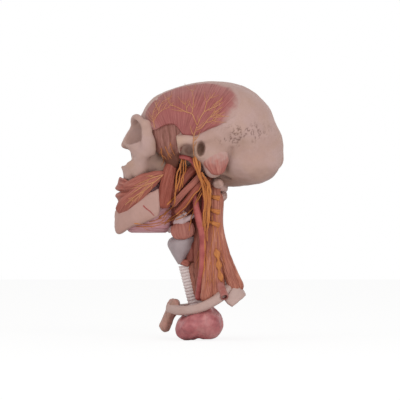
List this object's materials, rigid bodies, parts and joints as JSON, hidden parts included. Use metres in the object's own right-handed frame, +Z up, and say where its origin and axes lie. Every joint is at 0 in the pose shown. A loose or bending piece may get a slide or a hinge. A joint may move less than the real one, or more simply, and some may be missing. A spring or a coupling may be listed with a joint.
{
  "type": "neuroanatomy model",
  "caption": "Life-size dissected head and neck with bones, muscles, arteries and nerves as separate pieces, standing on two lung tops.",
  "frame": {"origin": "on the flat base, under the middle of the whole object", "axes": "+Z up, face towards -X, the left side of the head towards -Y"},
  "size_m": [0.2082, 0.1582, 0.316],
  "materials": {
    "bone": "satin, pale beige pink",
    "muscle": "satin, dusty red with fibres",
    "nerve": "satin, orange yellow",
    "artery": "satin, pink red",
    "cartilage": "satin, grey white",
    "lung": "satin, rose red"
  },
  "bodies": {
    "root": {"cranium": "bone", "facial_bones": "bone", "mandible": "bone", "atlas": "bone", "axis": "bone", "cervical_column": "bone", "hyoid": "bone", "manubrium": "bone", "thyroid_cartilage": "cartilage", "trachea": "cartilage", "cricothyroid_muscle": "muscle", "lip_muscle": "muscle", "mouth_floor": "muscle", "pharynx": "muscle", "oesophagus": "muscle", "cheek_bone_left": "bone", "cheek_bone_right": "bone", "first_rib_left": "bone", "first_rib_right": "bone", "second_rib_left": "bone", "second_rib_right": "bone", "carotid_left": "artery", "carotid_right": "artery", "maxillary_artery_left": "artery", "maxillary_artery_right": "artery", "subclavian_artery_left": "artery", "subclavian_artery_right": "artery", "temporalis_left": "muscle", "temporalis_right": "muscle", "deep_temporalis_left": "muscle", "deep_temporalis_right": "muscle", "cheek_muscle_left": "muscle", "cheek_muscle_right": "muscle", "styloid_muscles_left": "muscle", "styloid_muscles_right": "muscle", "medial_pterygoid_left": "muscle", "medial_pterygoid_right": "muscle", "sternomastoid_stump_left": "muscle", "sternomastoid_stump_right": "muscle", "thyrohyoid_left": "muscle", "thyrohyoid_right": "muscle", "scalene_muscle_left": "muscle", "scalene_muscle_right": "muscle", "levator_scapulae_left": "muscle", "levator_scapulae_right": "muscle", "vagus_nerve_left": "nerve", "vagus_nerve_right": "nerve", "cervical_nerve_roots_left": "nerve", "cervical_nerve_roots_right": "nerve", "brachial_plexus_left": "nerve", "brachial_plexus_right": "nerve", "mandibular_nerve_left": "nerve", "mandibular_nerve_right": "nerve", "hypoglossal_nerve_left": "nerve", "hypoglossal_nerve_right": "nerve", "temporal_nerve_right": "nerve", "temporal_nerve_left": "nerve", "lung_apex_left": "lung", "lung_apex_right": "lung"}
  },
  "joints": []
}
